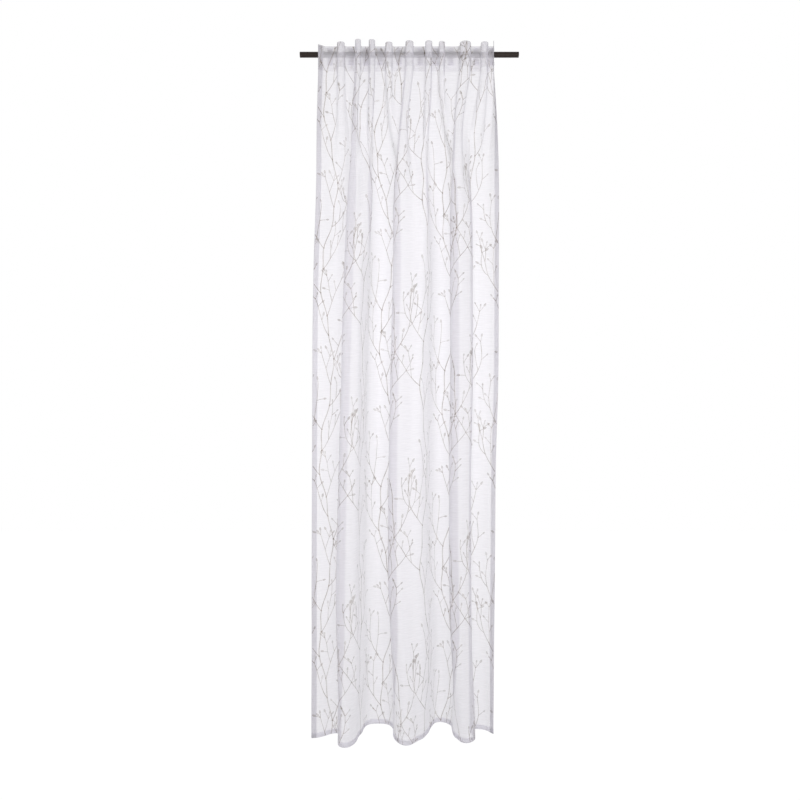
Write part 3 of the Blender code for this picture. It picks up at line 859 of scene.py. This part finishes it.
class Design:
    """The twigs of one repeat as flat faces, in metres to the right and up."""

    def __init__(self, sizes):
        self.sizes = sizes
        self.points, self.faces, self.inks, self.levels = [], [], [], []
        self.twigs = 0

    def add(self, points, faces, ink):
        first = len(self.points)
        self.points += points
        self.faces += [tuple(first + n for n in face) for face in faces]
        self.inks += [ink] * len(faces)
        self.twigs += 1
        self.levels += [self.twigs % LEVELS] * len(points)

    def twig(self, route, wide, narrow):
        """A ribbon along a route, narrowing towards its tip."""
        points = []
        for n, (x, y, head) in enumerate(route):
            half = (wide + (narrow - wide) * n / (len(route) - 1)) / 2
            points += [
                (x - half * math.cos(head), y + half * math.sin(head)),
                (x + half * math.cos(head), y - half * math.sin(head)),
            ]
        faces = [(2 * n, 2 * n + 1, 2 * n + 3, 2 * n + 2) for n in range(len(route) - 1)]
        self.add(points, faces, STEM)

    def bud(self, x, y, head, length, width, ink=BUD):
        """An oval bud with a pointed tip, growing the way its stalk heads."""
        ring = []
        for n in range(BUD_SIDES):
            turn = 2 * math.pi * n / BUD_SIDES
            along = length * (0.5 + 0.5 * math.cos(turn))
            side = width / 2 * math.sin(turn) * (1.15 - 0.45 * along / length)
            ring.append(
                (
                    x + along * math.sin(head) + side * math.cos(head),
                    y + along * math.cos(head) - side * math.sin(head),
                )
            )
        centre = (x + length / 2 * math.sin(head), y + length / 2 * math.cos(head))
        faces = [(n, BUD_SIDES, (n + 1) % BUD_SIDES) for n in range(BUD_SIDES)]
        self.add(ring + [centre], faces, ink)

    def route(self, x, y, head, turn, length, kinks=()):
        """A smooth course from a point, that turns most at its start; kinks are
        (distance, turn) on its way."""
        steps = max(2, round(length / self.sizes.step))
        step = length / steps
        found = [(x, y, head)]
        for n in range(steps):
            head += 2 * turn * (1 - (n + 0.5) / steps) / steps
            for at, kink in kinks:
                off = (n * step - at) / KINK_ROUNDING
                head += kink * step / KINK_ROUNDING * math.exp(-off * off / 2) / math.sqrt(2 * math.pi)
            x += step * math.sin(head)
            y += step * math.cos(head)
            found.append((x, y, head))
        return found

    def stalk(self, x, y, head, chance):
        """A short stalk with a bud on its tip."""
        turn = math.radians(chance.uniform(*STALK_TURN))
        route = self.route(x, y, head, turn, chance.uniform(*STALK_LENGTH))
        self.twig(route, *(self.sizes.stem * share for share in STALK_WIDTHS))
        size = chance.uniform(*BUD_SCALES)
        self.bud(*route[-1], self.sizes.bud_length * size, self.sizes.bud_width * size)

    def branch(self, x, y, head, side, length, chance, order=1):
        """A branch that arches up from its fork, kinking away from each twig on it."""
        forks, at, way = [], chance.uniform(*FIRST_FORK), side if order > 1 else -side
        while at < length - BARE_TIP:
            forks.append((at, way))
            way = -way if chance.random() < FORKS_SWAP else way
            at += chance.uniform(*NEXT_FORK)
        kinks = [(at, -way * math.radians(chance.uniform(*KINK))) for at, way in forks]
        turn = -head + side * math.radians(chance.uniform(*BRANCH_RISE))
        route = self.route(x, y, head, turn, length, kinks)
        stem = self.sizes.stem
        self.twig(route, stem * BRANCH_WIDTHS[order - 1], stem * TIP_WIDTH)
        for at, way in forks:
            px, py, heads = route[min(len(route) - 1, round(at / length * (len(route) - 1)))]
            out = heads + way * math.radians(chance.uniform(*TWIG_OUT))
            left = length - at
            if order == 1 and left > TWIG_FORKS[0] and chance.random() < TWIG_FORKS[1]:
                self.branch(px, py, out, way, left * chance.uniform(*TWIG_SHARE), chance, 2)
            else:
                self.stalk(px, py, out, chance)
        px, py, heads = route[-1]
        tips = chance.choice(TIP_BUDS)
        for n in range(tips):
            out = heads + math.radians(TIP_SPREAD) * (n - (tips - 1) / 2)
            self.stalk(px, py, out, chance)

    def stem(self, across, long, start, zigzag, first, seed):
        """A main stem that zigzags up through the repeat, with a branch at every turn."""
        chance = random.Random(seed)
        height = self.sizes.repeat_height
        steps = round(height / self.sizes.step)
        route = []
        for n in range(steps + 1):
            up = n / steps
            slow, quick = 2 * math.pi * (up + start), 2 * math.pi * (ZIGZAGS * up + first)
            x = across * MM + long * MM * math.sin(slow) + zigzag * MM * math.sin(quick)
            lean = long * MM * math.cos(slow) + ZIGZAGS * zigzag * MM * math.cos(quick)
            route.append((x, up * height, math.atan(2 * math.pi / height * lean)))
        self.twig(route, self.sizes.stem, self.sizes.stem)
        for n in range(2 * ZIGZAGS):
            side = 1 if n % 2 == 0 else -1
            up = ((0.25 + n / 2 - first) / ZIGZAGS + chance.uniform(*FORK_STRAYS)) % 1
            x, y, head = route[round(up * steps)]
            knot = [self.sizes.stem * share for share in KNOT]
            self.bud(x, y - KNOT_DROP, head, *knot, STEM)
            if chance.random() < BRANCH_SHARE:
                out = head + side * math.radians(chance.uniform(*BRANCH_OUT))
                self.branch(x, y, out, side, chance.uniform(*BRANCH_LENGTH), chance)


def repeated_design(sizes, hems):
    """The design over the whole cut cloth: flat points, faces, the faces' inks and the
    points' levels."""
    design = Design(sizes)
    for row in STEMS:
        design.stem(*row)
    points = np.array(design.points)
    side, heading, bottom = (hem - UNPRINTED for hem in hems)
    all_points, all_faces, all_inks, all_levels, count = [], [], [], [], 0
    for column in range(-1, math.ceil(PANEL_WIDTH / sizes.repeat_width) + 1):
        shift = COLUMN_SHIFTS[column % len(COLUMN_SHIFTS)]
        for row in range(-1, math.ceil(PANEL_DROP / sizes.repeat_height) + 2):
            across = points[:, 0] + column * sizes.repeat_width
            down = row * sizes.repeat_height + shift - points[:, 1]
            # Which side of each folded edge a point is on; a face lies wholly on one.
            zone = 3 * ((across > 0).astype(int) + (across > PANEL_WIDTH))
            zone += (down > 0).astype(int) + (down > PANEL_DROP)
            inside = (across > -side) & (across < PANEL_WIDTH + side)
            inside &= (down > -heading) & (down < PANEL_DROP + bottom)
            zone = np.where(inside, zone, -1)
            kept = [
                (face, ink)
                for face, ink in zip(design.faces, design.inks)
                if zone[face[0]] >= 0 and all(zone[n] == zone[face[0]] for n in face)
            ]
            used = sorted({n for face, _ink in kept for n in face})
            new = {n: count + k for k, n in enumerate(used)}
            all_points += [(across[n], down[n]) for n in used]
            all_levels += [design.levels[n] for n in used]
            all_faces += [tuple(new[n] for n in face) for face, _ink in kept]
            all_inks += [ink for _face, ink in kept]
            count += len(used)
    return np.array(all_points), all_faces, all_inks, np.array(all_levels)


# ---------------------------------------------------------------- the pieces


class CURTAIN_OT_hang_voile(bpy.types.Operator):
    """Makes the voile panel with its turned heading and hems, hanging in its folds"""

    bl_idname = "curtain.hang_voile"
    bl_label = "Hang Voile"

    def execute(self, context):
        make = context.scene.voile_sizes
        half = make.turn / 2
        edge, wide = make.side_hem, make.columns
        across = places(
            (-edge, wide),
            (-half, 1),
            (0, 1),
            (half, wide),
            (edge, wide),
            (PANEL_WIDTH - edge, wide),
            (PANEL_WIDTH - half, 1),
            (PANEL_WIDTH, 1),
            (PANEL_WIDTH + half, wide),
            (PANEL_WIDTH + edge, wide),
        )
        # Each place down the cloth, and the spacing of the mesh's rows below it.
        down = places(
            (-HEADING_DEPTH, 0.010),
            (-half, 1),
            (0, 1),
            (half, 0.010),
            (HEADING_DEPTH, 0.010),
            (0.50, 0.018),
            (2.00, 0.012),
            (PANEL_DROP - make.bottom_hem, 0.008),
            (PANEL_DROP - half, 1),
            (PANEL_DROP, 1),
            (PANEL_DROP + half, 0.008),
            (PANEL_DROP + make.bottom_hem, 1),
        )
        flat = np.stack(np.meshgrid(across, down), axis=-1)
        hems = (make.side_hem, make.bottom_hem)
        material = voile_polyester_woven("voile_polyester_woven", 0.30, 0.038, hems, 0.15, 0.12)
        mesh_piece(
            "voile_panel",
            on_cloth(flat[..., 0], flat[..., 1]),
            grid_faces(len(down), len(across)),
            material,
            flat.reshape(-1, 2),
        )
        return {"FINISHED"}


class CURTAIN_OT_print_twigs(bpy.types.Operator):
    """Prints the twig design on the hung voile, over its hems and heading as well"""

    bl_idname = "curtain.print_twigs"
    bl_label = "Print Twigs"

    def execute(self, context):
        sizes, make = context.scene.print_sizes, context.scene.voile_sizes
        hems = (make.side_hem, HEADING_DEPTH, make.bottom_hem)
        flat, faces, inks, levels = repeated_design(sizes, hems)
        if not faces:
            raise RuntimeError("no part of the design falls on the cloth")
        points = on_cloth(flat[:, 0], flat[:, 1], sizes.lift + LEVEL_LIFT * levels)
        stems = pigment_print("pigment_print_taupe", sizes.colour, 0.18)
        piece = mesh_piece("twig_print", points, faces, stems)
        piece.data.materials.append(pigment_print("pigment_print_pale", sizes.bud_colour, 0.10))
        piece.data.polygons.foreach_set("material_index", inks)
        return {"FINISHED"}


HEADING_SEAMS = (0.0125, 0.0075, 0.0015)  # above the heading's lower edge
SEAM_INSET = 0.002  # from a hem's inner edge, and from the cloth's sides
SEAM_START = 0.003  # of the side seams, from the cloth's top and bottom
LOOP_ROWS = (-0.001, 0.001)  # of stitches, beside the middle of a loop's sewn end
STITCH_LIFTS = (0.0001, 0.0002, 0.0002, 0.0001, 0.0005, -0.0001)  # of a stitch's six points


class CURTAIN_OT_stitch_hems(bpy.types.Operator):
    """Stitches the heading, the side hems, the bottom hem and the loops' ends"""

    bl_idname = "curtain.stitch_hems"
    bl_label = "Stitch Hems"

    def seams(self, make):
        """Each seam's first and last place on the flat cloth."""
        side, bottom = make.side_hem - SEAM_INSET, PANEL_DROP - make.bottom_hem + SEAM_INSET
        for above in HEADING_SEAMS:
            drop = HEADING_DEPTH - above
            yield (SEAM_INSET, drop), (PANEL_WIDTH - SEAM_INSET, drop)
        for place in (side, PANEL_WIDTH - side):
            yield (place, SEAM_START), (place, PANEL_DROP - SEAM_START)
        yield (side, bottom), (PANEL_WIDTH - side, bottom)
        for _x, place in loop_centres():
            first, last = place - TAB_WIDTH / 2, place + TAB_WIDTH / 2
            for drop in (TAB_TOP_DROP + TAB_SEAM / 2, TAB_TOP_DROP + TAB_LENGTH - TAB_SEAM / 2):
                for off in LOOP_ROWS:
                    yield (first, drop + off), (last, drop + off)

    def execute(self, context):
        make = context.scene.voile_sizes
        flat, lifts = [], []
        long, half = make.stitch_length / 2, make.thread / 2
        for start, end in self.seams(make):
            start, end = np.array(start), np.array(end)
            length = np.linalg.norm(end - start)
            way = (end - start) / length
            aside = np.array((-way[1], way[0]))
            count = int(length / make.stitch_pitch)
            for n in range(count):
                middle = start + way * (n + 0.5) * length / count
                flat += [middle - way * long, middle - aside * half, middle + aside * half]
                flat += [middle + way * long, middle, middle]
                lifts += STITCH_LIFTS
        points = on_cloth(*np.array(flat).T, np.array(lifts))
        # Four faces meet at the stitch's top, 4, and four at its foot, 5.
        upper = ((1, 0, 4), (3, 1, 4), (2, 3, 4), (0, 2, 4))
        lower = ((0, 1, 5), (1, 3, 5), (3, 2, 5), (2, 0, 5))
        faces = [
            tuple(first + n for n in face)
            for first in range(0, len(points), 6)
            for face in upper + lower
        ]
        mesh_piece("seam_stitches", points, faces, sewing_thread())
        return {"FINISHED"}


LOOP_ROUND = (118, -12, 6)  # degrees round the rod, first and last, and how many points
LOOP_COLUMNS = 7  # of points across a loop
CURVE_PARTS = (0, 0.25, 0.5, 0.75)  # where the smooth curve is read between two points


class CURTAIN_OT_sew_loops(bpy.types.Operator):
    """Makes the loops of folded voile that carry the heading on the rod"""

    bl_idname = "curtain.sew_loops"
    bl_label = "Sew Loops"

    def profile(self):
        """A loop's side view as (y, z): down over the rod, round its back and to the cloth."""
        seam_y = -(ROD_DIAMETER / 2 + CLOTH_TO_ROD) + SEWN_GAP + TAB_THICK / 2
        reach = ROD_DIAMETER / 2 + TAB_TO_ROD + TAB_THICK / 2
        top = TOP_ABOVE_ROD_AXIS - TAB_TOP_DROP
        bottom = top - TAB_LENGTH
        rough = [(seam_y, top), (seam_y, top - TAB_SEAM / 2)]
        rough += [
            (reach * math.cos(angle), reach * math.sin(angle))
            for angle in np.radians(np.linspace(*LOOP_ROUND))
        ]
        rough += TAB_UNDER_ROD
        rough += [(seam_y + TAB_EASE, bottom + 1.5 * TAB_SEAM), (seam_y, bottom + TAB_SEAM)]
        rough = np.array(rough + [(seam_y, bottom)])
        ends = np.vstack([2 * rough[0] - rough[1], rough, 2 * rough[-1] - rough[-2]])
        smooth = []
        for a, b, c, d in zip(ends, ends[1:], ends[2:], ends[3:]):
            for part in CURVE_PARTS:
                near = 2 * b + (c - a) * part + (2 * a - 5 * b + 4 * c - d) * part**2
                smooth.append((near + (3 * b - a - 3 * c + d) * part**3) / 2)
        return np.array([*smooth, rough[-1]])

    def execute(self, context):
        make = context.scene.voile_sizes
        profile = self.profile()
        material = voile_polyester_woven("voile_loop_tape", 0.28, 0.05)
        wide = np.linspace(-TAB_WIDTH / 2, TAB_WIDTH / 2, LOOP_COLUMNS)
        down = np.concatenate([[0], np.cumsum(np.linalg.norm(np.diff(profile, axis=0), axis=1))])
        for number, (x, _place) in enumerate(loop_centres(), 1):
            points = [(x + w, y, z) for y, z in profile for w in wide]
            flat = [(w, d) for d in down for w in wide]
            faces = [face[::-1] for face in grid_faces(len(profile), len(wide))]
            loop = mesh_piece(f"loop_{number:02d}", points, faces, material, flat)
            deselect()
            loop.select_set(True)
            context.view_layer.objects.active = loop
            wall = loop.modifiers.new("cloth", "SOLIDIFY")
            wall.thickness = make.tape_thick
            wall.offset = 0.0
            bpy.ops.object.modifier_apply(modifier=wall.name)
            loop["length"] = float(down[-1])
        return {"FINISHED"}


ROD_SIDES = 96
PLUG_RIM = (1.5, 0.3)  # width and height of the plug's own rim, in walls of the tube
RIM_STEPS = 3
RIM_ANGLE, SMOOTH_ANGLE = math.radians(40), math.radians(35)


class CURTAIN_OT_fit_rod(bpy.types.Operator):
    """Makes the rod: a round tube, closed a little way in at each end by a flat plug"""

    bl_idname = "curtain.fit_rod"
    bl_label = "Fit Rod"

    def execute(self, context):
        rod = context.scene.rod_sizes
        deselect()
        bpy.ops.mesh.primitive_cylinder_add(
            vertices=ROD_SIDES,
            radius=rod.diameter / 2,
            depth=rod.length,
            location=(0, 0, 0),
            rotation=(0, math.radians(90), 0),
        )
        piece = context.active_object
        piece.name = piece.data.name = "rod_tube"
        bpy.ops.object.transform_apply(location=False, rotation=True, scale=False)
        for way in (-1, 1):
            bpy.ops.object.mode_set(mode="EDIT")
            bpy.ops.mesh.select_mode(type="FACE")
            bpy.ops.mesh.select_all(action="DESELECT")
            shape = bmesh.from_edit_mesh(piece.data)
            for face in shape.faces:
                face.select_set(face.normal.x * way > 0.9)
            bmesh.update_edit_mesh(piece.data)
            bpy.ops.mesh.inset(thickness=rod.wall)
            bpy.ops.mesh.extrude_region_move(
                TRANSFORM_OT_translate={"value": (-way * rod.recess, 0, 0)}
            )
            bpy.ops.mesh.inset(thickness=rod.wall * PLUG_RIM[0], depth=rod.wall * PLUG_RIM[1])
            bpy.ops.object.mode_set(mode="OBJECT")
        rim = piece.modifiers.new("rim", "BEVEL")
        rim.width = rod.rim
        rim.segments = RIM_STEPS
        rim.limit_method = "ANGLE"
        rim.angle_limit = RIM_ANGLE
        bpy.ops.object.modifier_apply(modifier=rim.name)
        bpy.ops.object.shade_smooth_by_angle(angle=SMOOTH_ANGLE)
        piece.data.materials.clear()
        piece.data.materials.append(powder_coated_steel())
        deselect()
        return {"FINISHED"}


FLOOR_SEEN, FLOOR_BRIGHTNESS = 0.96, 1.04  # how much of the floor is lit of itself, and how
ROOM_AIR, FAR_AIR = 0.50, 0.66  # strength of the soft light from the room and from behind
LOW_AIR, HIGH_AIR = 0.75, 1.05  # shares of it from below and from above
LAMPS_AIM = (0, 0, -0.95)
CAMERA_PLACE = (-0.0333, -2.785, -1.2362)
FRAME_WIDTH = 36.0  # mm, that the lens is given for
LAYERS_SEEN = 32  # folds, hems and heading can stand twenty layers deep in one line of sight


class CURTAIN_OT_set_stage(bpy.types.Operator):
    """Sets a pale floor, soft studio light, and the camera"""

    bl_idname = "curtain.set_stage"
    bl_label = "Set Stage"

    def floor(self, context, stage):
        lowest = CAD_BOX[0][2] - stage.floor_gap
        bpy.ops.mesh.primitive_plane_add(size=stage.floor_side, location=(0, 0, lowest))
        floor = context.active_object
        floor.name = floor.data.name = "studio_floor"
        material, tree = new_material("floor_paint_white")
        # A white infinity floor: the eye sees it as bright as the wall that it runs into.
        seen = add_node(tree, "ShaderNodeLightPath").outputs["Is Camera Ray"]
        matt = add_node(
            tree, "ShaderNodeBsdfDiffuse", {"Color": (*linear("#e6e6e8"), 1), "Roughness": 0.9}
        )
        bright = add_node(
            tree, "ShaderNodeEmission", {"Color": (1, 1, 1, 1), "Strength": FLOOR_BRIGHTNESS}
        )
        part = maths(tree, "MULTIPLY", seen, FLOOR_SEEN)
        shown(tree, mixed(tree, part, matt.outputs["BSDF"], bright.outputs["Emission"]))
        floor.data.materials.append(material)

    def sky(self, context):
        """Even white behind everything, and a softer light from the room than from behind."""
        world = bpy.data.worlds.new("studio_air")
        context.scene.world = world
        world.use_nodes = True
        tree = world.node_tree
        tree.nodes.clear()
        way = add_node(tree, "ShaderNodeTexCoord").outputs["Generated"]
        parts = add_node(tree, "ShaderNodeSeparateXYZ", {"Vector": way})
        depth = add_node(
            tree,
            "ShaderNodeMapRange",
            {"Value": parts.outputs["Y"], 1: -0.6, 2: 0.6, 3: ROOM_AIR, 4: FAR_AIR},
            interpolation_type="SMOOTHSTEP",
        )
        height = add_node(
            tree,
            "ShaderNodeMapRange",
            {"Value": parts.outputs["Z"], 1: -0.7, 2: 0.5, 3: LOW_AIR, 4: HIGH_AIR},
        )
        light = maths(tree, "MULTIPLY", depth.outputs["Result"], height.outputs["Result"])
        lit, seen = (
            add_node(tree, "ShaderNodeBackground", inputs).outputs["Background"]
            for inputs in (
                {"Color": (1, 0.995, 1, 1), "Strength": light},
                {"Color": (1, 1, 1, 1), "Strength": 1.0},
            )
        )
        ray = add_node(tree, "ShaderNodeLightPath").outputs["Is Camera Ray"]
        add_node(tree, "ShaderNodeOutputWorld", {"Surface": mixed(tree, ray, lit, seen)})

    def lamp(self, context, name, place, side, power, tint):
        """A square soft light that is aimed at the middle of the cloth."""
        data = bpy.data.lights.new(name, "AREA")
        data.shape = "RECTANGLE"
        data.size, data.size_y = side, side
        data.energy = power
        data.color = tint
        lamp = bpy.data.objects.new(name, data)
        context.scene.collection.objects.link(lamp)
        way = np.array(LAMPS_AIM) - np.array(place)
        flat = math.hypot(way[0], way[1])
        lamp.location = place
        lamp.rotation_euler = (math.atan2(flat, -way[2]), 0, math.atan2(-way[0], way[1]))
        lamp.visible_camera = False

    def execute(self, context):
        stage = context.scene.stage_sizes
        deselect()
        self.floor(context, stage)
        self.sky(context)
        self.lamp(context, "key_light", (0.15, -2.3, -0.85), 1.0, stage.key, (1.0, 0.98, 0.97))
        self.lamp(context, "back_light", (0.0, 1.15, -0.95), 1.6, stage.back, (0.96, 0.94, 1.0))
        data = bpy.data.cameras.new("studio_camera")
        data.lens = stage.lens
        data.sensor_width = FRAME_WIDTH
        camera = bpy.data.objects.new("studio_camera", data)
        camera.location = CAMERA_PLACE
        camera.rotation_euler = (math.radians(90), 0, 0)
        context.scene.collection.objects.link(camera)
        context.scene.camera = camera
        context.scene.view_settings.view_transform = "Standard"
        context.scene.cycles.transparent_max_bounces = LAYERS_SEEN
        return {"FINISHED"}


class CURTAIN_OT_join_frame(bpy.types.Operator):
    bl_idname = "curtain.join_frame"
    bl_label = "Join Frame"

    def execute(self, context):
        made = bpy.data.objects
        panel, rod = made["voile_panel"], made["rod_tube"]
        on_panel = [made["twig_print"], made["seam_stitches"]]
        loops = [o for o in made if o.name.startswith("loop_")]
        for piece in (panel, rod, *on_panel, *loops):
            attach(piece, "root")
        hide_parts("panel")
        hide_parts("rod")
        for loop in loops:
            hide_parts(loop.name.replace("loop", "tab"))
        return {"FINISHED"}


class CURTAIN_PT_maker(bpy.types.Panel):
    bl_label = "Curtain"
    bl_idname = "CURTAIN_PT_maker"
    bl_space_type = "VIEW_3D"
    bl_region_type = "UI"
    bl_category = "Curtain"

    def draw(self, context):
        for operator in OPERATORS:
            self.layout.operator(operator.bl_idname)
        for name in GROUPS:
            box = self.layout.box()
            group = getattr(context.scene, name)
            for key in group.__annotations__:
                box.prop(group, key)


GROUPS = {
    "voile_sizes": VoileSizes,
    "print_sizes": PrintSizes,
    "rod_sizes": RodSizes,
    "stage_sizes": StageSizes,
}
OPERATORS = (
    CURTAIN_OT_hang_voile,
    CURTAIN_OT_print_twigs,
    CURTAIN_OT_stitch_hems,
    CURTAIN_OT_sew_loops,
    CURTAIN_OT_fit_rod,
    CURTAIN_OT_join_frame,
    CURTAIN_OT_set_stage,
)


def register():
    for name, group in GROUPS.items():
        bpy.utils.register_class(group)
        setattr(bpy.types.Scene, name, PointerProperty(type=group))
    for item in (*OPERATORS, CURTAIN_PT_maker):
        bpy.utils.register_class(item)


def unregister():
    for item in (CURTAIN_PT_maker, *reversed(OPERATORS)):
        bpy.utils.unregister_class(item)
    for name, group in GROUPS.items():
        delattr(bpy.types.Scene, name)
        bpy.utils.unregister_class(group)


def main():
    register()
    bpy.ops.curtain.hang_voile()
    bpy.ops.curtain.print_twigs()
    bpy.ops.curtain.stitch_hems()
    bpy.ops.curtain.sew_loops()
    bpy.ops.curtain.fit_rod()
    bpy.ops.curtain.join_frame()
    bpy.ops.curtain.set_stage()


if __name__ == "__main__":
    main()
